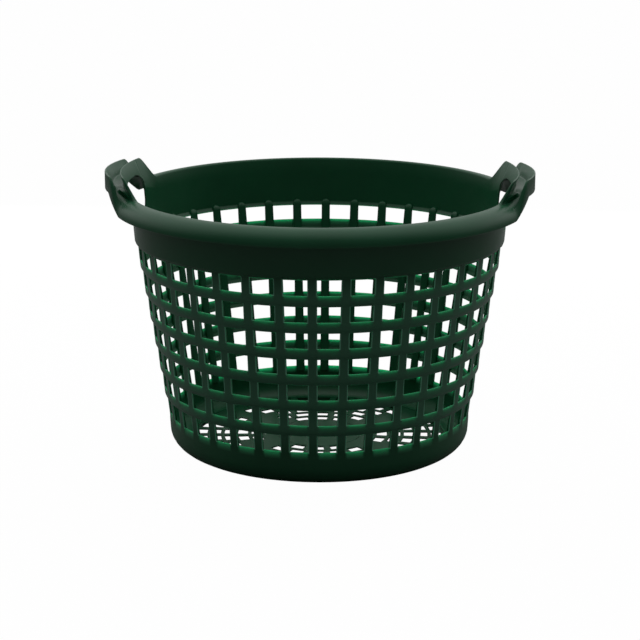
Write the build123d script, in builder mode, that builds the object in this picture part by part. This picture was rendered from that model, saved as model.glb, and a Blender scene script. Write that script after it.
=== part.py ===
"""Round green garden basket with a lattice wall and two raised loop handles. Millimetres, +Z up."""

import os
from math import asin, cos, degrees, radians, sin, sqrt, tan

from build123d import *

# Rim and moulding
rim_radius = 206.2  # outside of the wall at the crown of the rim
lip_reach = 18.8  # how far the turned-down lip stands out from the crown
lip_drop = 16.7  # how far the lip hangs below the crown
wall = 1.8  # thickness of the moulding

# Upper band
band_height = 55.6  # from the first row of holes up to the crown
band_flare = 4.0  # the band widens by this much up to the crown
band_step = 3.4  # the band stands out this far from the first row
band_slope_height = 4.5  # the sloped edge that takes up that step

# Lattice wall
upright_count = 36
upright_width = 9.8
upright_overlap = 7.0  # how far the uprights run onto the band above and the skirt below
upright_inset = 0.2  # the rounded inside of an upright starts this far inside the wall
upright_crown = 0.8  # height of that rounding
hole_rows = 7
hole_height = 16.6
last_hole_height = 18.6  # the lowest row is a little taller
hoop_height = 12.17
hoop_shoulder = 8.0  # straight part at the top of each hoop, above its slope
row_draft = 2.2  # each row narrows by this much down to the slope of its hoop
tier_step = 4.8  # each row is this much narrower than the one above

# Bottom
skirt_height = 38.5  # from the floor up to the last row of holes
skirt_setback = 0.5  # the skirt stands in this far from the last row's foot
skirt_slope_height = 5.0
skirt_draft = 0.5  # the skirt narrows by this much down to the corner
corner_radius = 20.5
foot_width = 6.0  # ring that the basket stands on
base_rise = 5.5  # the base inside the foot ring is raised off the floor
base_wall = 1.6  # the base is thinner than the rest

# Slots of the base, in rings around a plain middle
slot_rings = 6
slot_margin = 8.8  # from the middle of the last ring out to the edge of the plate
slot_ring_pitch = 15.2
slot_width = 11.0  # measured along the radius
slot_gap = 7.5  # bar between two slots of a ring
first_slot_count = 16
slot_count_step = 4  # each ring has this many slots more than the one inside it
spoke_angle = 36.0  # four plain spokes, this far either side of the handles
spoke_clear = 17.0  # slots whose middle is nearer to a spoke's centre line are left out

# Handles
grip_rise = 22.2  # top of the grip above the crown
grip_half = 60.5  # half length of the raised wall's level top
arch_run = 19.5  # length over which the raised wall eases down to the crown
arch_toe = 0.8  # height of the raised wall where it ends on the crown
arch_lean = 10.9  # the raised wall leans outwards by this much up to its top
strap_bow = 8.8  # the strap bows out this far past the lip
strap_inset = 5.1  # the strap's level top ends this far inside the raised wall's
strap_overrun = 0.2  # the strap meets the lip this far past the end of the raised wall
strap_shoulder = 7.0  # the strap's upper edge starts this far below the crown
strap_low_inset = 8.2  # the level part of the strap's lower edge ends this far inside the raised wall's top
strap_edge_rise = 20.5  # that part lies this much above the lip's edge
strap_slope = 9.0  # thickness of the strap at the foot of its sloped inner face
hand_hole_inset = 11.0  # the hand hole ends this far inside the raised wall's level top
hand_hole_sill = 18.0  # band left between the first row of holes and the hand hole
hand_hole_head = 14.5  # raised wall left above the hand hole
hand_hole_round = 16.0

# Half lengths of the handles that follow
arch_foot = grip_half + arch_run
strap_end = arch_foot + strap_overrun
strap_half = grip_half - strap_inset
strap_low_half = grip_half - strap_low_inset
hand_hole_half = grip_half - hand_hole_inset

# Heights that follow
row_pitch = hole_height + hoop_height
first_hole_top = skirt_height + last_hole_height + (hole_rows - 1) * row_pitch
band_kink = first_hole_top + band_slope_height
rim_top = first_hole_top + band_height
lip_edge = rim_top - lip_drop
plate_top = base_rise + base_wall
grip_top = rim_top + grip_rise
hand_hole_bottom = first_hole_top + hand_hole_sill
hand_hole_top = grip_top - hand_hole_head
trough_floor = hand_hole_top + wall

# Radii that follow, all of them outside faces
lip_radius = rim_radius + lip_reach
band_radius = rim_radius - band_flare
row_radii = [band_radius - band_step - row * tier_step for row in range(hole_rows)]  # at the top of each row
last_row_foot = row_radii[-1] - row_draft
skirt_radius = last_row_foot - skirt_setback
base_radius = skirt_radius - skirt_draft - corner_radius
plate_radius = base_radius - foot_width
first_slot_ring = plate_radius - slot_margin - (slot_rings - 1) * slot_ring_pitch  # middle of the ring
arch_radius = rim_radius + arch_lean
reach = lip_radius + strap_bow + wall  # clear of everything

# The strap's bow: an arc through its middle and its two ends on the lip
handle_angle = degrees(asin(strap_end / lip_radius))
bow_middle = lip_radius + strap_bow
bow_centre = (bow_middle**2 - lip_radius**2) / 2 / (bow_middle - sqrt(lip_radius**2 - strap_end**2))
bow_radius = bow_middle - bow_centre

os.makedirs("parts", exist_ok=True)


def ring(profile):
    """Solid of revolution from the radius and height points of a closed profile."""
    with BuildPart() as turned:
        with BuildSketch(Plane.XZ):
            with BuildLine():
                Polyline(*profile, close=True)
            make_face()
        revolve(axis=Axis.Z)
    return turned.part


def shell(points):
    """Ring of the wall's thickness inside a line of radius and height points."""
    return ring(points + [(radius - wall, height) for radius, height in reversed(points)])


def sill_radius(row):
    """Outside radius at the lower edge of a row's holes."""
    return row_radii[row] - row_draft * hole_height / (hole_height + hoop_shoulder)


def eased_line(foot, low, top_half, top):
    """Draws a line that eases up from each foot to a level top, all of it seen from the side."""
    third = (foot - top_half) / 3
    Bezier((-foot, low), (-foot + third, low), (-top_half - third, top), (-top_half, top))
    Line((-top_half, top), (top_half, top))
    Bezier((top_half, top), (top_half + third, top), (foot - third, low), (foot, low))


def ramp_line(foot, low, top_half, top):
    """Draws a line that ramps straight up from each foot to a level top."""
    Polyline((-foot, low), (-top_half, top), (top_half, top), (foot, low))


def arch_plate(upper, lower, draw_lower):
    """Block across the +X side between an eased line above and another line below."""
    with BuildPart() as plate:
        with BuildSketch(Plane.YZ):
            with BuildLine():
                eased_line(*upper)
                draw_lower(*lower)
                for side in (-1, 1):
                    Line((side * upper[0], upper[1]), (side * lower[0], lower[1]))
            make_face()
        extrude(amount=reach)
    return plate.part


def on_spoke(radius, angle):
    """Whether a slot at this radius and angle would lie on one of the plain spokes."""
    along, across = radius * abs(cos(radians(angle))), radius * abs(sin(radians(angle)))
    spoke = radians(spoke_angle)
    return abs(along * sin(spoke) - across * cos(spoke)) < spoke_clear


# Base plate with its rings of slots
with BuildPart() as base_plate:
    with BuildSketch(Plane.XY.offset(base_rise)):
        Circle(plate_radius)
        for slot_ring in range(slot_rings):
            ring_radius = first_slot_ring + slot_ring * slot_ring_pitch
            slot_count = first_slot_count + slot_ring * slot_count_step
            slot_turn = 360 / slot_count
            slot_length = ring_radius * radians(slot_turn) - slot_gap
            for slot in range(slot_count):
                if not on_spoke(ring_radius, slot * slot_turn):
                    with PolarLocations(ring_radius, 1, start_angle=slot * slot_turn):
                        Rectangle(slot_width, slot_length, mode=Mode.SUBTRACT)
    extrude(amount=base_wall)
base_plate.part.label = "base_plate"
export_step(base_plate.part, "parts/base_plate.step")

# Base skirt with the rounded bottom corner and the foot ring
skirt_kink = skirt_height - skirt_slope_height
with BuildPart() as base_skirt:
    with BuildSketch(Plane.XZ):
        with BuildLine():
            outer_corner = CenterArc((base_radius, corner_radius), corner_radius, -90, 90)
            inner_corner = CenterArc((base_radius, corner_radius), corner_radius - wall, -90, 90)
            Polyline(
                outer_corner @ 0,
                (plate_radius, 0),
                (plate_radius, plate_top),
                (plate_radius + wall, plate_top),
                (plate_radius + wall, wall),
                inner_corner @ 0,
            )
            Polyline(
                outer_corner @ 1,
                (skirt_radius, skirt_kink),
                (last_row_foot, skirt_height),
                (last_row_foot - wall, skirt_height),
                (skirt_radius - wall, skirt_kink),
                inner_corner @ 1,
            )
        make_face()
    revolve(axis=Axis.Z)
base_skirt.part.label = "base_skirt"
export_step(base_skirt.part, "parts/base_skirt.step")

# Hoops between the rows of holes
hoops = []
for row in range(hole_rows - 1):
    hoop_foot = first_hole_top - (row + 1) * row_pitch
    hoop_top = hoop_foot + hoop_height
    hoop = shell(
        [
            (sill_radius(row), hoop_top),
            (row_radii[row] - row_draft, hoop_top - hoop_shoulder),
            (row_radii[row + 1], hoop_foot),
        ]
    )
    hoop.label = f"hoop_{row + 1}"
    hoops.append(hoop)
    export_step(hoop, f"parts/{hoop.label}.step")

# Upper band, cut by the two hand holes
band_line = [(rim_radius, rim_top), (band_radius, band_kink), (row_radii[0], first_hole_top)]
band_ring = shell(band_line)
with BuildPart() as hand_holes:
    with BuildSketch(Plane.YZ):
        with Locations((0, (hand_hole_bottom + hand_hole_top) / 2)):
            RectangleRounded(2 * hand_hole_half, hand_hole_top - hand_hole_bottom, hand_hole_round)
    extrude(amount=reach, both=True)
with BuildPart() as upper_band:
    add(band_ring)
    add(hand_holes.part, mode=Mode.SUBTRACT)
upper_band.part.label = "upper_band"
export_step(upper_band.part, "parts/upper_band.step")

# Upright ribs: a web out to the stepped face of the wall, rounded inside and at the top
lean = tier_step / row_pitch
rib_top = first_hole_top + upright_overlap
rib_foot = skirt_height - upright_overlap
rib_axis_top = row_radii[0] - wall - upright_inset + upright_overlap * lean
rib_axis_foot = rib_axis_top - (rib_top - rib_foot) * lean
rib_outline = [(rib_axis_top, rib_top), (band_radius - wall / 2, rib_top)]
for row in range(hole_rows):
    hole_top = first_hole_top - row * row_pitch
    rib_outline.append((row_radii[row], hole_top))
    if row < hole_rows - 1:
        rib_outline.append((sill_radius(row), hole_top - hole_height))
rib_outline.append((last_row_foot, skirt_height))
rib_outline.append((skirt_radius - wall / 2, skirt_kink))
rib_outline.append((skirt_radius - wall / 2, rib_foot))
rib_outline.append((rib_axis_foot, rib_foot))
outside_band = ring(band_line + [(reach, first_hole_top), (reach, rim_top)])
with BuildPart() as upright:
    with BuildSketch(Plane.XZ):
        with BuildLine():
            Polyline(*rib_outline, close=True)
        make_face()
    extrude(amount=upright_width / 2, both=True)
    with BuildLine():
        rib_axis = Line((rib_axis_foot, 0, rib_foot), (rib_axis_top, 0, rib_top))
    with BuildSketch(Plane(origin=rib_axis @ 0, x_dir=(0, 1, 0), z_dir=rib_axis % 0)):
        Ellipse(upright_width / 2, upright_crown)
        inner_half = (Align.CENTER, Align.MIN)
        Rectangle(upright_width, upright_width, align=inner_half, mode=Mode.INTERSECT)
    sweep(path=rib_axis)
    with BuildSketch(Plane.YZ):
        with Locations((0, rib_top - upright_width / 2)):
            Circle(upright_width / 2)
            Rectangle(upright_width, rib_top, align=(Align.CENTER, Align.MAX))
    extrude(amount=reach, mode=Mode.INTERSECT)
    for neighbour in (band_ring, outside_band, *hoops, base_skirt.part):
        add(neighbour, mode=Mode.SUBTRACT)
with BuildPart() as uprights:
    with PolarLocations(0, upright_count):
        add(upright.part)
uprights.part.label = "uprights"
export_step(uprights.part, "parts/uprights.step")

# Turned-down lip between the handles
lip_sweep = 180 - 2 * handle_angle
lip_root = rim_radius - band_flare * wall / (rim_top - band_kink)
for name, start in (("rim_lip_front", 180 + handle_angle), ("rim_lip_rear", handle_angle)):
    along = (cos(radians(start)), sin(radians(start)), 0)
    across = (sin(radians(start)), -cos(radians(start)), 0)
    with BuildPart() as lip:
        with BuildSketch(Plane((0, 0, 0), x_dir=along, z_dir=across)):
            with BuildLine():
                centre = (rim_radius, lip_edge)
                outer_round = EllipticalCenterArc(centre, lip_reach, lip_drop)
                inner_round = EllipticalCenterArc(centre, lip_reach - wall, lip_drop - wall)
                Line(outer_round @ 0, inner_round @ 0)
                Polyline(outer_round @ 1, (lip_root, rim_top - wall), inner_round @ 1)
            make_face()
        revolve(axis=Axis.Z, revolution_arc=lip_sweep)
    lip.part.label = name
    export_step(lip.part, f"parts/{name}.step")

# Handles: arched plates cut out of a leaning wall and a bowed strap, with a trough floor between them
with BuildPart() as handle_sector:
    with BuildSketch():
        with BuildLine():
            spread = reach * tan(radians(handle_angle))
            Polyline((0, 0), (reach, -spread), (reach, spread), close=True)
        make_face()
    extrude(amount=grip_top)

arch_shell = shell([(arch_radius, grip_top), (rim_radius, rim_top)])
arch_upper = (arch_foot, rim_top + arch_toe, grip_half, grip_top)
arch_block = arch_plate(arch_upper, (arch_foot, rim_top, grip_half, rim_top), ramp_line)
with BuildPart() as handle_arch:
    add(arch_shell)
    add(arch_block, mode=Mode.INTERSECT)
    add(hand_holes.part, mode=Mode.SUBTRACT)

strap_ring = ring(
    [
        (bow_radius, lip_edge),
        (bow_radius, grip_top),
        (bow_radius - wall, grip_top),
        (bow_radius - strap_slope, trough_floor),
        (bow_radius - wall, trough_floor),
        (bow_radius - wall, lip_edge),
    ]
)
strap_start = rim_top - strap_shoulder
strap_upper = (strap_end, strap_start, strap_half, grip_top)
strap_lower = (strap_end, lip_edge, strap_low_half, lip_edge + strap_edge_rise)
strap_block = arch_plate(strap_upper, strap_lower, ramp_line)
with BuildPart() as handle_strap:
    with Locations((bow_centre, 0)):
        add(strap_ring)
    add(strap_block, mode=Mode.INTERSECT)
    add(handle_sector.part, mode=Mode.INTERSECT)

outside_wall = ring(
    [
        (band_radius, band_kink),
        (rim_radius, rim_top),
        (arch_radius, grip_top),
        (reach, grip_top),
        (reach, band_kink),
    ]
)
floor_start = rim_top - wall
floor_upper = (strap_end, floor_start, hand_hole_half, trough_floor)
floor_lower = (strap_end, floor_start - wall, hand_hole_half, hand_hole_top)
floor_block = arch_plate(floor_upper, floor_lower, eased_line)
with BuildPart() as handle_floor:
    with Locations((bow_centre, 0)):
        Cylinder(bow_radius - wall, grip_top, align=(Align.CENTER, Align.CENTER, Align.MIN))
    add(outside_wall, mode=Mode.INTERSECT)
    add(floor_block, mode=Mode.INTERSECT)
    add(handle_sector.part, mode=Mode.INTERSECT)

for side, turn in (("right", 0), ("left", 180)):
    for piece, source in (("arch", handle_arch), ("floor", handle_floor), ("strap", handle_strap)):
        placed = source.part.rotate(Axis.Z, turn)
        placed.label = f"handle_{side}_{piece}"
        export_step(placed, f"parts/{placed.label}.step")
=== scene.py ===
"""Looks of the round green garden basket: one satin moulding, a pale floor and soft studio light."""

import math

import bmesh
import bpy
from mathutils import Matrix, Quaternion, Vector


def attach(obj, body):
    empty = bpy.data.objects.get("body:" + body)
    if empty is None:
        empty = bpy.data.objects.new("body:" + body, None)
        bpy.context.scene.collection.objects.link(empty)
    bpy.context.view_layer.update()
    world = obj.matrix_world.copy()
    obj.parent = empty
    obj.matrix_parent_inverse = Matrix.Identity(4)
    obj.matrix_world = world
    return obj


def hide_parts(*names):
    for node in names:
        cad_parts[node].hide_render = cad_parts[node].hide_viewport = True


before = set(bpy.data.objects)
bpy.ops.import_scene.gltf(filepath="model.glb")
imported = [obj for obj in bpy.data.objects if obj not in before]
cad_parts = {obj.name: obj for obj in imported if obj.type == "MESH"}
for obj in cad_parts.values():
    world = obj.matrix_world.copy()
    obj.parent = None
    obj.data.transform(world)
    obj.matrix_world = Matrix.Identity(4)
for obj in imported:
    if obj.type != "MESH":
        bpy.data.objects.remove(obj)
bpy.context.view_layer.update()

# Sizes of the moulding in millimetres, the same as the solids
MM = 0.001
wall = 1.8
rim_radius = 206.2
lip_reach = 18.8
lip_drop = 16.7
band_height = 55.6
band_flare = 4.0
band_step = 3.4
band_slope_height = 4.5
upright_count = 36
upright_width = 9.8
upright_overlap = 7.0
upright_inset = 0.2
upright_crown = 0.8
hole_rows = 7
hole_height = 16.6
last_hole_height = 18.6
hoop_height = 12.17
hoop_shoulder = 8.0
row_draft = 2.2
tier_step = 4.8
skirt_height = 38.5
skirt_setback = 0.5
skirt_slope_height = 5.0
skirt_draft = 0.5
corner_radius = 20.5
base_wall = 1.6
base_rise = 5.5
foot_width = 6.0

# Sizes of the slotted base
slot_rings = 6
slot_margin = 8.8
slot_ring_pitch = 15.2
slot_width = 11.0
slot_gap = 7.5
first_slot_count = 16
slot_count_step = 4
spoke_angle = 36.0
spoke_clear = 17.0

# Sizes of the handles
grip_rise = 22.2
grip_half = 60.5
arch_run = 19.5
arch_lean = 10.9
strap_bow = 8.8
strap_slope = 9.0
strap_inset = 5.1
strap_overrun = 0.2
strap_low_inset = 8.2
strap_edge_rise = 20.5
hand_hole_inset = 11.0
hand_hole_sill = 18.0
hand_hole_head = 14.5
hand_hole_round = 16.0

# Heights, radii and half lengths that follow
row_pitch = hole_height + hoop_height
first_hole_top = skirt_height + last_hole_height + (hole_rows - 1) * row_pitch
band_kink = first_hole_top + band_slope_height
rim_top = first_hole_top + band_height
band_radius = rim_radius - band_flare
first_row_radius = band_radius - band_step
skirt_radius = first_row_radius - (hole_rows - 1) * tier_step - row_draft - skirt_setback
skirt_kink = skirt_height - skirt_slope_height
base_radius = skirt_radius - skirt_draft - corner_radius
plate_radius = base_radius - foot_width
plate_top = base_rise + base_wall
first_slot_ring = plate_radius - slot_margin - (slot_rings - 1) * slot_ring_pitch
arch_end = grip_half + arch_run
strap_end = arch_end + strap_overrun
strap_half = grip_half - strap_inset
strap_low_half = grip_half - strap_low_inset
hand_hole_half = grip_half - hand_hole_inset
hand_hole_bottom = first_hole_top + hand_hole_sill
hand_hole_top = rim_top + grip_rise - hand_hole_head
lip_radius = rim_radius + lip_reach
handle_angle = math.asin(strap_end / lip_radius)
bow_end = lip_radius * math.cos(handle_angle)
bow_middle = lip_radius + strap_bow
bow_centre = (bow_middle ** 2 - lip_radius ** 2) / 2 / (bow_middle - bow_end)
bow_radius = bow_middle - bow_centre

# Rounded edges and other details that only the looks have
hole_edge = 0.8
brim_edge = 0.8
slot_edge = 0.4
trough_round = 2.6
crown_round = 2.6
lip_roll = 0.8
sill_inset = 0.5
sill_blend = 1.8
hole_line = 1.3
trough_half = 38.0
seam_dip = 9.0
seam_run = 45.0
arm_reach = 61.0
weld_gap = 0.02

# Colours of the plastic, a pale green painted on as painted highlight along the hole edges and painted glow
# below them, and how much of that painted glow the lattice has between its edges
deep_green = (0.004, 0.088, 0.033)
fresh_green = (0.006, 0.104, 0.040)
painted_light_colour = (0.36, 0.9, 0.62)
light_through = (0.08, 0.9, 0.5)
lattice_painted_glow = 0.1


def new_object(name, builder):
    """Mesh object from a bmesh, at the origin, shaded smooth."""
    bmesh.ops.recalc_face_normals(builder, faces=builder.faces)
    mesh = bpy.data.meshes.new(name)
    builder.to_mesh(mesh)
    builder.free()
    mesh.polygons.foreach_set("use_smooth", [True] * len(mesh.polygons))
    obj = bpy.data.objects.new(name, mesh)
    bpy.context.scene.collection.objects.link(obj)
    return obj


def ease(share):
    """Smooth step from 0 to 1."""
    share = min(max(share, 0.0), 1.0)
    return share * share * (3 - 2 * share)


def at(radius, angle, height):
    """Point in metres from a radius and height in millimetres and an angle in radians."""
    return Vector((radius * math.cos(angle), radius * math.sin(angle), height)) * MM


def blended(first, second, share):
    """Point part of the way from one radius and height pair to another."""
    return tuple(a + (b - a) * share for a, b in zip(first, second))


def rounded_corner(before, corner, after, radius, count=4):
    """Points of the arc that rounds a corner of an outline."""
    corner = Vector(corner)
    inward = (Vector(before) - corner).normalized()
    onward = (Vector(after) - corner).normalized()
    half = inward.angle(onward) / 2
    middle = corner + (inward + onward).normalized() * radius / math.sin(half)
    start = corner + inward * radius / math.tan(half) - middle
    end = corner + onward * radius / math.tan(half) - middle
    swing = start.angle(end)
    points = []
    for step in range(count):
        share = step / (count - 1)
        spoke = (start * math.sin((1 - share) * swing) + end * math.sin(share * swing)) / math.sin(swing)
        points.append(tuple(middle + spoke))
    return points


# Geometry Nodes: copies of one part set around the upright axis
def turned_copies_tree():
    tree = bpy.data.node_groups.new("turned_copies", "GeometryNodeTree")
    ports = tree.interface
    ports.new_socket("Part", in_out="INPUT", socket_type="NodeSocketGeometry")
    copies = ports.new_socket("Copies", in_out="INPUT", socket_type="NodeSocketInt")
    weld = ports.new_socket("Weld distance", in_out="INPUT", socket_type="NodeSocketFloat")
    finish = ports.new_socket("Finish", in_out="INPUT", socket_type="NodeSocketMaterial")
    ports.new_socket("Ring", in_out="OUTPUT", socket_type="NodeSocketGeometry")
    make, join = tree.nodes.new, tree.links.new
    given = make("NodeGroupInput")
    result = make("NodeGroupOutput")
    points = make("GeometryNodePoints")
    number = make("GeometryNodeInputIndex")
    full_turn = make("ShaderNodeMath")
    full_turn.operation = "DIVIDE"
    full_turn.inputs[0].default_value = math.tau
    turn = make("ShaderNodeMath")
    turn.operation = "MULTIPLY"
    about_axis = make("ShaderNodeCombineXYZ")
    place = make("GeometryNodeInstanceOnPoints")
    realize = make("GeometryNodeRealizeInstances")
    merge = make("GeometryNodeMergeByDistance")
    paint = make("GeometryNodeSetMaterial")
    join(given.outputs["Copies"], points.inputs["Count"])
    join(given.outputs["Copies"], full_turn.inputs[1])
    join(number.outputs["Index"], turn.inputs[0])
    join(full_turn.outputs[0], turn.inputs[1])
    join(turn.outputs[0], about_axis.inputs["Z"])
    join(points.outputs["Points"], place.inputs["Points"])
    join(given.outputs["Part"], place.inputs["Instance"])
    join(about_axis.outputs["Vector"], place.inputs["Rotation"])
    join(given.outputs["Weld distance"], merge.inputs["Distance"])
    join(place.outputs["Instances"], realize.inputs["Geometry"])
    join(realize.outputs["Geometry"], merge.inputs["Geometry"])
    join(merge.outputs["Geometry"], paint.inputs["Geometry"])
    join(given.outputs["Finish"], paint.inputs["Material"])
    join(paint.outputs["Geometry"], result.inputs["Ring"])
    return tree, {"copies": copies.identifier, "weld": weld.identifier, "finish": finish.identifier}


def turn_around(obj, copies, finish):
    """Repeats an object's mesh around the axis with the Geometry Nodes tree."""
    modifier = obj.modifiers.new("turned_copies", "NODES")
    modifier.node_group = copies_tree
    modifier[copies_ports["copies"]] = copies
    modifier[copies_ports["weld"]] = weld_gap * MM
    modifier[copies_ports["finish"]] = finish


def round_edges(obj, width, segments=2):
    """Bevels the edges that carry a bevel weight."""
    modifier = obj.modifiers.new("round_edges", "BEVEL")
    modifier.limit_method = "WEIGHT"
    modifier.width = width * MM
    modifier.segments = segments
    modifier.use_clamp_overlap = True


def settle(obj, finish, sharp_angle=38):
    """Turns the object with its modifiers into a plain finished mesh that rides on the basket."""
    bpy.context.view_layer.update()
    evaluated = obj.evaluated_get(bpy.context.evaluated_depsgraph_get())
    mesh = bpy.data.meshes.new_from_object(evaluated)
    obj.modifiers.clear()
    obj.data = mesh
    mesh.name = obj.name
    mesh.materials.clear()
    mesh.materials.append(finish)
    mesh.polygons.foreach_set("material_index", [0] * len(mesh.polygons))
    mesh.polygons.foreach_set("use_smooth", [True] * len(mesh.polygons))
    mesh.set_sharp_from_angle(angle=math.radians(sharp_angle))
    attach(obj, "root")
    return obj


# Finish of the moulding: dark satin plastic that lets green light through where its edges run thin, with a
# pale green painted over its colour as painted highlight and painted glow, and its colour darkened by a
# factor as painted shade
def moulded_green(name, gloss, painted_shade):
    finish = bpy.data.materials.new(name)
    finish.use_nodes = True
    tree = finish.node_tree
    make, join = tree.nodes.new, tree.links.new
    shader = tree.nodes["Principled BSDF"]
    shader.inputs["Specular IOR Level"].default_value = gloss
    shader.inputs["IOR"].default_value = 1.5
    place = make("ShaderNodeTexCoord")

    clouds = make("ShaderNodeTexNoise")
    clouds.inputs["Scale"].default_value = 14.0
    clouds.inputs["Detail"].default_value = 3.0
    tint = make("ShaderNodeValToRGB")
    # The colour is multiplied by the shade factor: a painted shade wherever it is below one
    for stop, position, colour in zip(tint.color_ramp.elements, (0.3, 0.7), (deep_green, fresh_green)):
        stop.position = position
        stop.color = [channel * painted_shade for channel in colour] + [1]
    join(place.outputs["Object"], clouds.inputs["Vector"])
    join(clouds.outputs["Fac"], tint.inputs["Fac"])
    thin_share = make("ShaderNodeAttribute")
    thin_share.attribute_name = "thin_edge"
    # Pale green painted over the colour by a vertex share: painted highlight on the hole edges, painted glow
    # on the sills and the lattice
    pale = make("ShaderNodeMix")
    pale.data_type = "RGBA"
    pale_at = {port.name: port for port in pale.inputs if port.type == "RGBA"}
    pale_at["B"].default_value = (*painted_light_colour, 1)
    painted_light_attribute = make("ShaderNodeAttribute")
    painted_light_attribute.attribute_name = "painted_light_share"
    join(painted_light_attribute.outputs["Fac"], pale.inputs["Factor"])
    join(tint.outputs["Color"], pale_at["A"])
    join(next(port for port in pale.outputs if port.type == "RGBA"), shader.inputs["Base Color"])

    sheen_clouds = make("ShaderNodeTexNoise")
    sheen_clouds.inputs["Scale"].default_value = 55.0
    sheen_clouds.inputs["Detail"].default_value = 4.0
    sheen = make("ShaderNodeMapRange")
    sheen.inputs["To Min"].default_value = 0.28
    sheen.inputs["To Max"].default_value = 0.4
    join(place.outputs["Object"], sheen_clouds.inputs["Vector"])
    join(sheen_clouds.outputs["Fac"], sheen.inputs["Value"])
    join(sheen.outputs["Result"], shader.inputs["Roughness"])

    grain = make("ShaderNodeTexNoise")
    grain.inputs["Scale"].default_value = 900.0
    grain.inputs["Detail"].default_value = 2.0
    relief = make("ShaderNodeBump")
    relief.inputs["Strength"].default_value = 0.06
    relief.inputs["Distance"].default_value = 0.0004
    join(place.outputs["Object"], grain.inputs["Vector"])
    join(grain.outputs["Fac"], relief.inputs["Height"])
    join(relief.outputs["Normal"], shader.inputs["Normal"])

    through = make("ShaderNodeBsdfTranslucent")
    through.inputs["Color"].default_value = (*light_through, 1)
    let_through = make("ShaderNodeMath")
    let_through.operation = "MULTIPLY"
    let_through.inputs[1].default_value = 0.75
    blend = make("ShaderNodeMixShader")
    join(thin_share.outputs["Fac"], let_through.inputs[0])
    join(let_through.outputs[0], blend.inputs["Fac"])
    join(shader.outputs[0], blend.inputs[1])
    join(through.outputs[0], blend.inputs[2])
    join(blend.outputs[0], tree.nodes["Material Output"].inputs["Surface"])
    return finish


# Lattice wall: one bay with an upright in its middle
def wall_stations():
    """Stations down the wall: points of both skins, inset of the sill, thinness, and if a hole is below."""
    stations = []

    def add(outer, inner, inset=0.0, thin=(0.0, 0.0), hole_below=False):
        stations.append((outer, inner, inset, thin, hole_below))

    def straight(radius, height):
        add((radius, height), (radius - wall, height))

    straight(band_radius, band_kink)
    straight(band_radius - 0.4, band_kink - 1.2)
    straight(first_row_radius + 0.6, first_hole_top + 1.4)
    # Drop below the hole, share of the inset, and thinness of the outer and the inner skin
    sill_steps = ((0.0, 1.0, 0.75, 1.0), (1.1, 0.5, 0.32, 0.95), (2.2, 0.17, 0.2, 0.7),
                  (3.4, 0.04, 0.12, 0.35), (hoop_shoulder, 0.0, 0.0, 0.0))
    skirt_steps = ((0.0, 2.0, 0.8, 1.0), (1.5, 1.3, 0.35, 0.9), (3.2, 0.75, 0.28, 0.6),
                   (5.0, 0.35, 0.18, 0.3), (8.5, 0.0, 0.0, 0.0))
    for row in range(hole_rows):
        radius = first_row_radius - row * tier_step
        top = first_hole_top - row * row_pitch
        last = row == hole_rows - 1
        bottom = skirt_height if last else top - hole_height
        add((radius, top), (radius - wall, top), thin=(0.9, 0.6), hole_below=True)
        for drop, share, thin_out, thin_in in skirt_steps if last else sill_steps:
            if last:
                face = radius - row_draft - skirt_setback * min(drop / skirt_slope_height, 1)
            else:
                face = radius - row_draft * (hole_height + drop) / (hole_height + hoop_shoulder)
            add((face, bottom - drop), (face - wall, bottom - drop),
                inset=sill_inset * share, thin=(thin_out, thin_in))
        if not last:
            for share in (0.25, 0.55, 0.85):
                drop = hoop_shoulder + (hoop_height - hoop_shoulder) * share
                straight(radius - row_draft - (tier_step - row_draft) * share, bottom - drop)
    corner_steps = 8
    for step in range(corner_steps + 1):
        turn = math.radians(90 * step / corner_steps)
        out, up = math.cos(turn), 1 - math.sin(turn)
        add((base_radius + corner_radius * out, corner_radius * up),
            (base_radius + (corner_radius - wall) * out, wall + (corner_radius - wall) * up))
    add((plate_radius, 0.0), (plate_radius + wall, wall))
    add((plate_radius, plate_top), (plate_radius + wall, plate_top))
    return stations


def bay_angles(radius):
    """Angles across a bay at a radius, from one side over the upright to the other side."""
    side = math.pi / upright_count
    edge = math.asin(upright_width / 2 / radius)
    sill_end = edge + sill_blend / radius
    half = (edge - hole_line / radius, edge, sill_end, (sill_end + side) / 2, side)
    return [-a for a in reversed(half)] + [0.0] + list(half)


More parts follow.
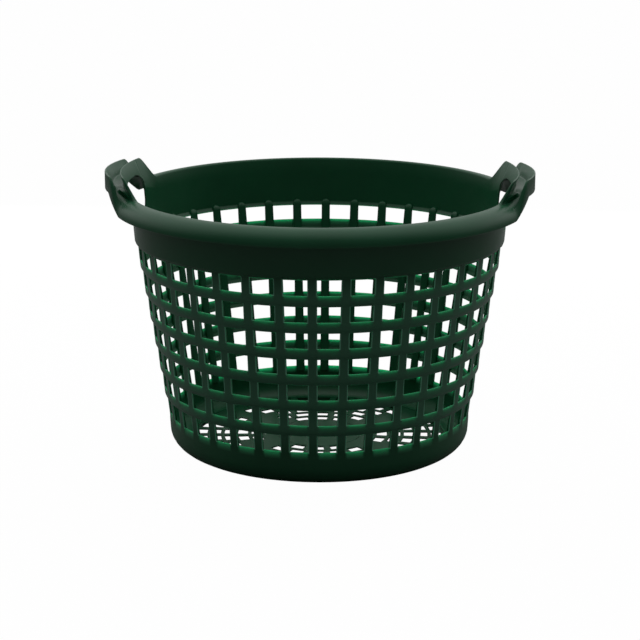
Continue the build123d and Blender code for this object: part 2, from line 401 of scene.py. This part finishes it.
def lattice_bay():
    bm = bmesh.new()
    weight = bm.edges.layers.float.new("bevel_weight_edge")
    thin_edge = bm.verts.layers.float.new("thin_edge")
    painted_light_share = bm.verts.layers.float.new("painted_light_share")
    upright = range(3, 7)
    rows = []
    for outer, inner, inset, thin, hole_below in wall_stations():
        skins = []
        for (radius, height), cut, glow in ((outer, inset, thin[0]), (inner, 0.0, thin[1])):
            outside = not skins
            # Painted glow: the outside of the lattice between the skirt and the first hole is painted
            # slightly pale
            body = lattice_painted_glow if outside and skirt_height < height < first_hole_top else 0.0
            verts = []
            for col, angle in enumerate(bay_angles(radius)):
                on_upright = upright[0] <= col <= upright[-1] + 1
                on_edge = col in (upright[0], upright[-1] + 1)
                at_hole = on_edge and outside and glow > 0.7
                vert = bm.verts.new(at(radius if on_upright else radius - cut, angle, height))
                vert[thin_edge] = 0.6 * glow if on_edge else 0.0 if on_upright else glow
                # Painted highlight on the hole edges, and painted glow fading down the sills with their
                # thinness
                vert[painted_light_share] = 1.0 if at_hole else body if on_upright else max(glow / 2, body)
                verts.append(vert)
            skins.append(verts)
        rows.append((skins, hole_below))
    columns = len(rows[0][0][0])

    def soften(first, second, amount):
        edge = bm.edges.get((first, second))
        edge[weight] = amount

    for (skins, hole_below), (next_skins, _) in zip(rows, rows[1:]):
        for col in upright if hole_below else range(columns - 1):
            for skin, below in zip(skins, next_skins):
                bm.faces.new((skin[col], skin[col + 1], below[col + 1], below[col]))
    for (skins, hole_below), (next_skins, _) in zip(rows, rows[1:]):
        if not hole_below:
            continue
        for col in (upright[0], upright[-1] + 1):
            bm.faces.new((skins[0][col], skins[1][col], next_skins[1][col], next_skins[0][col]))
            soften(skins[0][col], next_skins[0][col], 1.0)
            soften(skins[1][col], next_skins[1][col], 0.6)
        for (outer, inner), amount in ((skins, 0.9), (next_skins, 0.8)):
            for col in range(columns - 1):
                if col not in upright:
                    bm.faces.new((outer[col], outer[col + 1], inner[col + 1], inner[col]))
                    soften(outer[col], outer[col + 1], amount)
                    soften(inner[col], inner[col + 1], 0.8)
    for outer, inner in (rows[0][0], rows[-1][0]):
        for col in range(columns - 1):
            bm.faces.new((outer[col], outer[col + 1], inner[col + 1], inner[col]))
    return bm


# Ribs behind the uprights, slightly rounded towards the inside, with a domed top
def rib():
    bm = bmesh.new()
    lean = tier_step / (hole_height + hoop_height)
    half = upright_width / 2
    arc_steps = 8
    dome_steps = 4
    round_start = first_hole_top + upright_overlap - half
    levels = []
    for step in range(dome_steps, -1, -1):
        rise = step / dome_steps * math.pi / 2
        levels.append((round_start + half * math.sin(rise), band_radius, max(math.cos(rise), 0.05)))
    levels += [(outer[1], outer[0], 1.0) for outer, *_ in wall_stations()
               if skirt_height - upright_overlap <= outer[1] < round_start]
    loops = []
    for height, outside, size in levels:
        axis = first_row_radius - wall - upright_inset - (first_hole_top - height) * lean
        axis += (band_radius - wall - axis) * (1 - size)
        reach = half * size
        loop = [(outside - wall / 2, -reach)]
        for step in range(arc_steps + 1):
            turn = math.pi * (step / arc_steps - 0.5)
            loop.append((axis - upright_crown * size * math.cos(turn), reach * math.sin(turn)))
        loop.append((outside - wall / 2, reach))
        loops.append([bm.verts.new(Vector((x, y, height)) * MM) for x, y in loop])
    for upper, lower in zip(loops, loops[1:]):
        for i in range(len(upper)):
            j = (i + 1) % len(upper)
            bm.faces.new((upper[i], upper[j], lower[j], lower[i]))
    bm.faces.new(loops[0])
    bm.faces.new(loops[-1])
    return bm


# Base: a hub, rings of short slots and four plain spokes
def ring_of_slots_tree():
    """Copies of a slotted cell around the axis, with plain cells where a spoke runs."""
    tree = bpy.data.node_groups.new("ring_of_slots", "GeometryNodeTree")
    ports = tree.interface
    ports.new_socket("Cells", in_out="INPUT", socket_type="NodeSocketGeometry")
    named = {"copies": ports.new_socket("Copies", in_out="INPUT", socket_type="NodeSocketInt")}
    for name in ("Ring radius", "Spoke angle", "Spoke clearance", "Weld distance"):
        named[name.lower()] = ports.new_socket(name, in_out="INPUT", socket_type="NodeSocketFloat")
    named["finish"] = ports.new_socket("Finish", in_out="INPUT", socket_type="NodeSocketMaterial")
    ports.new_socket("Ring", in_out="OUTPUT", socket_type="NodeSocketGeometry")
    make, join = tree.nodes.new, tree.links.new
    given = make("NodeGroupInput")

    def sum_of(operation, *terms):
        node = make("ShaderNodeMath")
        node.operation = operation
        for port, term in zip(node.inputs, terms):
            if isinstance(term, float):
                port.default_value = term
            else:
                join(term, port)
        return node.outputs[0]

    points = make("GeometryNodePoints")
    join(given.outputs["Copies"], points.inputs["Count"])
    number = make("GeometryNodeInputIndex")
    turn = sum_of("MULTIPLY", number.outputs["Index"], sum_of("DIVIDE", math.tau, given.outputs["Copies"]))
    along = sum_of("ABSOLUTE", sum_of("COSINE", turn))
    across = sum_of("ABSOLUTE", sum_of("SINE", turn))
    spoke = given.outputs["Spoke angle"]
    aside = sum_of("SUBTRACT", sum_of("MULTIPLY", along, sum_of("SINE", spoke)),
                   sum_of("MULTIPLY", across, sum_of("COSINE", spoke)))
    gap = sum_of("MULTIPLY", sum_of("ABSOLUTE", aside), given.outputs["Ring radius"])
    on_spoke = sum_of("LESS_THAN", gap, given.outputs["Spoke clearance"])
    beside_spoke = sum_of("SUBTRACT", 1.0, on_spoke)
    kind = make("GeometryNodeInputNamedAttribute")
    kind.data_type = "BOOLEAN"
    kind.inputs["Name"].default_value = "plain_cell"
    sort = make("GeometryNodeSeparateGeometry")
    sort.domain = "FACE"
    join(given.outputs["Cells"], sort.inputs["Geometry"])
    join(kind.outputs["Attribute"], sort.inputs["Selection"])
    about_axis = make("ShaderNodeCombineXYZ")
    join(turn, about_axis.inputs["Z"])
    gather = make("GeometryNodeJoinGeometry")
    for cell, chosen in (("Selection", on_spoke), ("Inverted", beside_spoke)):
        place = make("GeometryNodeInstanceOnPoints")
        join(points.outputs["Points"], place.inputs["Points"])
        join(chosen, place.inputs["Selection"])
        join(sort.outputs[cell], place.inputs["Instance"])
        join(about_axis.outputs["Vector"], place.inputs["Rotation"])
        join(place.outputs["Instances"], gather.inputs["Geometry"])
    realize = make("GeometryNodeRealizeInstances")
    merge = make("GeometryNodeMergeByDistance")
    paint = make("GeometryNodeSetMaterial")
    result = make("NodeGroupOutput")
    join(gather.outputs["Geometry"], realize.inputs["Geometry"])
    join(realize.outputs["Geometry"], merge.inputs["Geometry"])
    join(given.outputs["Weld distance"], merge.inputs["Distance"])
    join(merge.outputs["Geometry"], paint.inputs["Geometry"])
    join(given.outputs["Finish"], paint.inputs["Material"])
    join(paint.outputs["Geometry"], result.inputs["Ring"])
    return tree, {name: socket.identifier for name, socket in named.items()}


def slot_cells(radius, count):
    """A slotted and a plain cell of a ring, one on the other."""
    bm = bmesh.new()
    weight = bm.edges.layers.float.new("bevel_weight_edge")
    plain_cell = bm.faces.layers.bool.new("plain_cell")
    side = math.pi / count
    slot_end = side - slot_gap / 2 / radius
    angles = [-side, -slot_end, -slot_end / 2, 0.0, slot_end / 2, slot_end, side]
    half_slot, half_ring = slot_width / 2, slot_ring_pitch / 2
    radii = [radius - half_ring, radius - half_slot, radius + half_slot, radius + half_ring]
    across, ends = range(len(angles) - 1), (0, len(angles) - 2)
    for plain in (False, True):
        top, under = [[[bm.verts.new(at(r, a, height)) for a in angles] for r in radii]
                      for height in (plate_top, base_rise)]
        faces = []
        for skin in (top, under):
            for row in range(3):
                for col in across:
                    if plain or row != 1 or col in ends:
                        near, far = skin[row], skin[row + 1]
                        faces.append((near[col], near[col + 1], far[col + 1], far[col]))
        for row in range(4):
            for col in across:
                if row in (0, 3) or not (plain or col in ends):
                    faces.append((top[row][col], top[row][col + 1], under[row][col + 1], under[row][col]))
        if not plain:
            for col in (1, ends[1]):
                faces.append((top[1][col], top[2][col], under[2][col], under[1][col]))
        for corners in faces:
            bm.faces.new(corners)[plain_cell] = plain
        if not plain:
            for skin in (top, under):
                for row in (1, 2):
                    for col in range(1, ends[1]):
                        bm.edges.get((skin[row][col], skin[row][col + 1]))[weight] = 1.0
                for col in (1, ends[1]):
                    bm.edges.get((skin[1][col], skin[2][col]))[weight] = 1.0
    return bm


def hub_slice(count):
    """One slice of the plain middle of the base."""
    bm = bmesh.new()
    side = math.pi / count
    radius = first_slot_ring - slot_ring_pitch / 2
    slices = []
    for height in (plate_top, base_rise):
        points = [(0, 0, height * MM), at(radius, -side, height), at(radius, side, height)]
        slices.append([bm.verts.new(point) for point in points])
        bm.faces.new(slices[-1])
    top, under = slices
    bm.faces.new((top[1], top[2], under[2], under[1]))
    return bm


def slotted_base(finish):
    """The whole base in one mesh, put together from its hub and its rings of slots."""
    bm = bmesh.new()
    hub = new_object("base_hub", hub_slice(first_slot_count))
    turn_around(hub, first_slot_count, finish)
    parts = [hub]
    for ring in range(slot_rings):
        count = first_slot_count + ring * slot_count_step
        radius = first_slot_ring + ring * slot_ring_pitch
        part = new_object("base_ring", slot_cells(radius, count))
        modifier = part.modifiers.new("ring_of_slots", "NODES")
        modifier.node_group = slots_tree
        given = {"copies": count, "ring radius": radius, "spoke angle": math.radians(spoke_angle),
                 "spoke clearance": spoke_clear, "weld distance": weld_gap * MM, "finish": finish}
        for name, value in given.items():
            modifier[slots_ports[name]] = value
        round_edges(part, slot_edge)
        parts.append(part)
    for part in parts:
        bpy.context.view_layer.update()
        evaluated = part.evaluated_get(bpy.context.evaluated_depsgraph_get())
        bm.from_mesh(evaluated.data)
        bpy.data.objects.remove(part)
    return bm


# Band, rim and handles: one section that rises and opens into a trough over the hand holes
def band_outside(height):
    """Outside radius of the band, and of the raised wall above the crown."""
    if height <= rim_top:
        return band_radius + (rim_radius - band_radius) * (height - band_kink) / (rim_top - band_kink)
    return rim_radius + arch_lean * (height - rim_top) / grip_rise


def plain_rim(outside):
    """Outline of the rim with a lip of this radius, in the groups of the grip's outline."""
    edge = rim_top - lip_drop
    reach = outside - rim_radius
    crown = rounded_corner((rim_radius - wall - 1, rim_top - 8), (rim_radius - wall, rim_top),
                           (rim_radius + 4, rim_top), crown_round)
    turns = [2 + 1.5 * step for step in range(4)]
    turns += [6.5 + 77.5 * step / 16 for step in range(1, 17)]
    curve = []
    for turn in map(math.radians, turns):
        curve.append((rim_radius + reach * math.sin(turn), edge + lip_drop * math.cos(turn)))
    low_out, low_in = (outside, edge - lip_roll), (outside - wall, edge - lip_roll)
    lower = rounded_corner((low_out[0], edge + 4), low_out, low_in, brim_edge)
    lower += rounded_corner(low_out, low_in, (low_in[0] - 0.5, edge + 4), brim_edge)
    under = []
    for step in range(4):
        turn = math.radians(70 - 55 * step / 3)
        under.append((rim_radius + (reach - wall) * math.sin(turn),
                      edge + (lip_drop - wall) * math.cos(turn)))
    root = [(rim_radius + 0.6, rim_top - wall - 0.1), (band_outside(rim_top - wall - 2), rim_top - wall - 2)]
    return crown + curve[:4], curve[4:12], curve[12:], lower, under, root


def strap_outside(angle):
    """Outside radius of the bowed strap at an angle from the handle's middle."""
    return bow_centre * math.cos(angle) + math.sqrt(bow_radius ** 2 - (bow_centre * math.sin(angle)) ** 2)


def grip_section(strap):
    """Outline of the handle where it is fully raised: wall, trough floor and a strap of this radius."""
    top = rim_top + grip_rise
    floor = hand_hole_top + wall
    low = rim_top - lip_drop + strap_edge_rise
    arch_in, arch_out = (band_outside(top) - wall, top), (band_outside(top), top)
    floor_in, floor_out = (band_outside(floor), floor), (strap - strap_slope, floor)
    strap_in, strap_out = (strap - wall, top), (strap, top)
    low_out, low_in = (strap, low), (strap - wall, low)
    under_out, under_in = (strap - wall, hand_hole_top), (band_outside(hand_hole_top), hand_hole_top)
    arch_foot = (band_outside(hand_hole_top) - wall, hand_hole_top)
    raised = rounded_corner(arch_foot, arch_in, arch_out, brim_edge)
    raised += rounded_corner(arch_in, arch_out, floor_in, brim_edge)
    trough = rounded_corner(arch_out, floor_in, floor_out, trough_round)
    trough += rounded_corner(floor_in, floor_out, strap_in, trough_round)
    outer = rounded_corner(floor_out, strap_in, strap_out, brim_edge)
    outer += rounded_corner(strap_in, strap_out, low_out, brim_edge)
    lower = rounded_corner(strap_out, low_out, low_in, brim_edge)
    lower += rounded_corner(low_out, low_in, under_out, brim_edge)
    under = rounded_corner(low_in, under_out, under_in, brim_edge)
    root = [blended(under_out, under_in, 0.55), blended(under_out, under_in, 0.93)]
    return raised, trough, outer, lower, under, root


def hole_edge_rise(sideways):
    """How far the rounded corner of the hand hole has turned, as a height."""
    past = max(sideways - (hand_hole_half - hand_hole_round), 0.0)
    return hand_hole_round - math.sqrt(max(hand_hole_round ** 2 - past ** 2, 0.0))


def quarter_offsets():
    """Angles from a handle's middle to halfway round to the other handle."""
    flat = hand_hole_half - hand_hole_round
    notch = [flat * i / 6 for i in range(7)]
    notch += [flat + hand_hole_round * math.sin(math.radians(a)) for a in (18, 36, 52, 66, 79, 90)]
    arm_columns = 32
    arms = [hand_hole_half + arm_reach * (i / arm_columns) ** 1.1 for i in range(1, arm_columns + 1)]
    angles = [math.asin(s / rim_radius) for s in notch + arms]
    plain_columns = 20
    start = angles[-1]
    angles += [start + (math.pi / 2 - start) * i / plain_columns for i in range(1, plain_columns + 1)]
    return angles, len(notch) - 1


def rim_and_handles():
    bm = bmesh.new()
    weight = bm.edges.layers.float.new("bevel_weight_edge")
    quarter, notch_end = quarter_offsets()
    forward = [(a, i) for i, a in enumerate(quarter)]
    half_turn = forward + [(math.pi - a, i) for a, i in reversed(forward[:-1])]
    full_turn = half_turn + [(a + math.pi, i) for a, i in half_turn[1:-1]]
    low_rows, high_rows = 6, 5
    corner_low = hand_hole_bottom + hand_hole_round
    corner_high = hand_hole_top - hand_hole_round
    columns = []
    for angle, number in full_turn:
        sideways = rim_radius * math.sin(quarter[number])
        strap = strap_outside(min(quarter[number], handle_angle))
        at_strap = strap * math.sin(quarter[number])
        raise_in = ease((arch_end - sideways) / arch_run)
        raise_out = ease((strap_end - at_strap) / (strap_end - strap_half))
        raise_low = min(max((strap_end - at_strap) / (strap_end - strap_low_half), 0.0), 1.0)
        raise_floor = ease((strap_end - at_strap) / (strap_end - trough_half))
        shares = (raise_in, raise_floor, raise_out, raise_low, raise_floor, raise_in)
        plain, grip = plain_rim(strap), grip_section(strap)
        open_here = number <= notch_end
        if open_here:
            seam = hand_hole_top - hole_edge_rise(sideways)
            low_end = hand_hole_bottom + hole_edge_rise(sideways)
        else:
            seam = corner_high - seam_dip * ease((sideways - hand_hole_half) / seam_run)
            low_end = corner_low
        section = [(band_outside(seam) - wall, seam)]
        for plain_group, grip_group, share in zip(plain, grip, shares):
            section += [blended(p, g, share) for p, g in zip(plain_group, grip_group)]
        section.append((band_outside(seam), seam))
        strip = [bm.verts.new(at(r, angle, z)) for r, z in section]
        skins = []
        for inset, top_vert in ((0.0, strip[-1]), (wall, strip[0])):
            heights = [band_kink + (low_end - band_kink) * i / low_rows for i in range(low_rows + 1)]
            if number >= notch_end:
                heights += [low_end + (seam - low_end) * i / high_rows for i in range(1, high_rows)]
            skin = [bm.verts.new(at(band_outside(z) - inset, angle, z)) for z in heights]
            if number >= notch_end:
                skin.append(top_vert)
            skins.append(skin)
        columns.append((strip, skins, number))

    def soften(first, second):
        bm.edges.get((first, second))[weight] = 1.0

    for i, (strip, skins, number) in enumerate(columns):
        next_strip, next_skins, next_number = columns[(i + 1) % len(columns)]
        for j in range(len(strip) - 1):
            bm.faces.new((strip[j], next_strip[j], next_strip[j + 1], strip[j + 1]))
        for skin, next_skin in zip(skins, next_skins):
            for j in range(min(len(skin), len(next_skin)) - 1):
                bm.faces.new((skin[j], next_skin[j], next_skin[j + 1], skin[j + 1]))
        bm.faces.new((skins[0][0], next_skins[0][0], next_skins[1][0], skins[1][0]))
        if max(number, next_number) <= notch_end:
            bm.faces.new((strip[0], next_strip[0], next_strip[-1], strip[-1]))
            sill = low_rows
            bm.faces.new((skins[0][sill], next_skins[0][sill], next_skins[1][sill], skins[1][sill]))
            soften(strip[0], next_strip[0])
            soften(strip[-1], next_strip[-1])
            for side in (0, 1):
                soften(skins[side][sill], next_skins[side][sill])
    for strip, skins, number in columns:
        if number == notch_end:
            for j in range(low_rows, low_rows + high_rows):
                bm.faces.new((skins[0][j], skins[0][j + 1], skins[1][j + 1], skins[1][j]))
                for side in (0, 1):
                    soften(skins[side][j], skins[side][j + 1])
    return bm


finish = moulded_green("moulded_green", gloss=0.5, painted_shade=1.0)
# The base is a darker copy of the same moulding: painted shade
shaded_base_finish = moulded_green("moulded_green_base_painted_shade", gloss=0.18, painted_shade=0.65)
copies_tree, copies_ports = turned_copies_tree()
slots_tree, slots_ports = ring_of_slots_tree()

lattice = new_object("lattice_wall", lattice_bay())
turn_around(lattice, upright_count, finish)
round_edges(lattice, hole_edge)
settle(lattice, finish)
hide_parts("base_skirt", *[f"hoop_{i}" for i in range(1, hole_rows)])

ribs = new_object("upright_ribs", rib())
turn_around(ribs, upright_count, finish)
settle(ribs, finish)
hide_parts("uprights")

base = new_object("slotted_base", slotted_base(shaded_base_finish))
settle(base, shaded_base_finish)
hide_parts("base_plate")

rim = new_object("rim_and_handles", rim_and_handles())
round_edges(rim, hole_edge)
settle(rim, finish)
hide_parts("upper_band", "rim_lip_front", "rim_lip_rear")
for side in ("left", "right"):
    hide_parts(*[f"handle_{side}_{piece}" for piece in ("arch", "floor", "strap")])


# Studio: pale floor and a surround that is bright above and behind, and dim in front and low down
floor_grey = 0.17
floor_white_share = 0.985
surround_dim = 0.1
surround_bright = 0.72
low_share = 0.35
low_height = 0.3


def pale_floor():
    bpy.ops.mesh.primitive_plane_add(size=12)
    floor = bpy.context.object
    floor.name = "floor"
    paint = bpy.data.materials.new("pale_floor")
    paint.use_nodes = True
    tree = paint.node_tree
    make, join = tree.nodes.new, tree.links.new
    dim = tree.nodes["Principled BSDF"]
    dim.inputs["Base Color"].default_value = (floor_grey, floor_grey, floor_grey, 1)
    dim.inputs["Roughness"].default_value = 0.9
    shaded = make("ShaderNodeBsdfDiffuse")
    shaded.inputs["Color"].default_value = (0.9, 0.9, 0.9, 1)
    white = make("ShaderNodeEmission")
    white.inputs["Strength"].default_value = 1.0
    seen = make("ShaderNodeMixShader")
    seen.inputs["Fac"].default_value = floor_white_share
    path = make("ShaderNodeLightPath")
    either = make("ShaderNodeMath")
    either.operation = "MAXIMUM"
    choose = make("ShaderNodeMixShader")
    join(shaded.outputs[0], seen.inputs[1])
    join(white.outputs[0], seen.inputs[2])
    join(path.outputs["Is Camera Ray"], either.inputs[0])
    join(path.outputs["Is Transmission Ray"], either.inputs[1])
    join(either.outputs[0], choose.inputs["Fac"])
    join(dim.outputs[0], choose.inputs[1])
    join(seen.outputs[0], choose.inputs[2])
    join(choose.outputs[0], tree.nodes["Material Output"].inputs["Surface"])
    floor.data.materials.append(paint)


def surroundings():
    world = bpy.data.worlds.new("studio")
    bpy.context.scene.world = world
    world.use_nodes = True
    tree = world.node_tree
    make, join = tree.nodes.new, tree.links.new
    around = make("ShaderNodeTexCoord")
    up_and_back = make("ShaderNodeVectorMath")
    up_and_back.operation = "DOT_PRODUCT"
    up_and_back.inputs[1].default_value = (0.0, 0.8, 0.6)
    brightness = make("ShaderNodeMapRange")
    brightness.inputs["From Min"].default_value = -0.1
    brightness.inputs["From Max"].default_value = 0.7
    brightness.inputs["To Min"].default_value = surround_dim
    brightness.inputs["To Max"].default_value = surround_bright
    join(around.outputs["Generated"], up_and_back.inputs[0])
    join(up_and_back.outputs["Value"], brightness.inputs["Value"])
    ambient = tree.nodes["Background"]
    ambient.inputs["Color"].default_value = (1, 1, 1, 1)
    height = make("ShaderNodeSeparateXYZ")
    low_dimming = make("ShaderNodeMapRange")
    low_dimming.inputs["From Max"].default_value = low_height
    low_dimming.inputs["To Min"].default_value = low_share
    strength = make("ShaderNodeMath")
    strength.operation = "MULTIPLY"
    join(around.outputs["Generated"], height.inputs["Vector"])
    join(height.outputs["Z"], low_dimming.inputs["Value"])
    join(brightness.outputs["Result"], strength.inputs[0])
    join(low_dimming.outputs["Result"], strength.inputs[1])
    join(strength.outputs[0], ambient.inputs["Strength"])
    white = make("ShaderNodeBackground")
    white.inputs["Color"].default_value = (1, 1, 1, 1)
    white.inputs["Strength"].default_value = 1.0
    path = make("ShaderNodeLightPath")
    mix = make("ShaderNodeMixShader")
    join(path.outputs["Is Camera Ray"], mix.inputs["Fac"])
    join(ambient.outputs[0], mix.inputs[1])
    join(white.outputs[0], mix.inputs[2])
    join(mix.outputs[0], tree.nodes["World Output"].inputs["Surface"])


def soft_light(name, place, aim, width, height, power):
    """Area lamp that lights the basket without showing in its gloss."""
    lamp = bpy.data.lights.new(name, "AREA")
    lamp.shape = "RECTANGLE"
    lamp.size = width
    lamp.size_y = height
    lamp.energy = power
    obj = bpy.data.objects.new(name, lamp)
    obj.location = place
    obj.rotation_euler = (Vector(aim) - Vector(place)).to_track_quat("-Z", "Y").to_euler()
    obj.visible_camera = False
    obj.visible_glossy = False
    bpy.context.scene.collection.objects.link(obj)


pale_floor()
surroundings()
soft_light("overhead", (0.0, 0.2, 1.6), (0, 0.0, 0.2), width=1.6, height=1.2, power=4)
soft_light("behind", (0.0, 1.3, 0.35), (0, 0.0, 0.15), width=1.6, height=0.6, power=12)

# Camera at the photograph's view
turn = math.radians(2.12)
pitch = math.radians(14.495)
roll = 0.0022
camera_distance = 2043.7
camera_height = 666.3
camera_aside = 0.65
lens_length = 106.88
lens = bpy.data.cameras.new("camera")
lens.sensor_width = 36
lens.lens = lens_length
lens.clip_end = 50
camera = bpy.data.objects.new("camera", lens)
sideways = Vector((math.cos(turn), math.sin(turn), 0)) * camera_aside
backwards = Vector((math.sin(turn), -math.cos(turn), 0)) * camera_distance
camera.location = (sideways + backwards + Vector((0, 0, camera_height))) * MM
look = Vector((-math.sin(turn) * math.cos(pitch), math.cos(turn) * math.cos(pitch), -math.sin(pitch)))
aim = look.to_track_quat("-Z", "Y") @ Quaternion((0, 0, 1), roll)
camera.rotation_euler = aim.to_euler()
bpy.context.scene.collection.objects.link(camera)
bpy.context.scene.camera = camera
bpy.context.scene.view_settings.view_transform = "Standard"
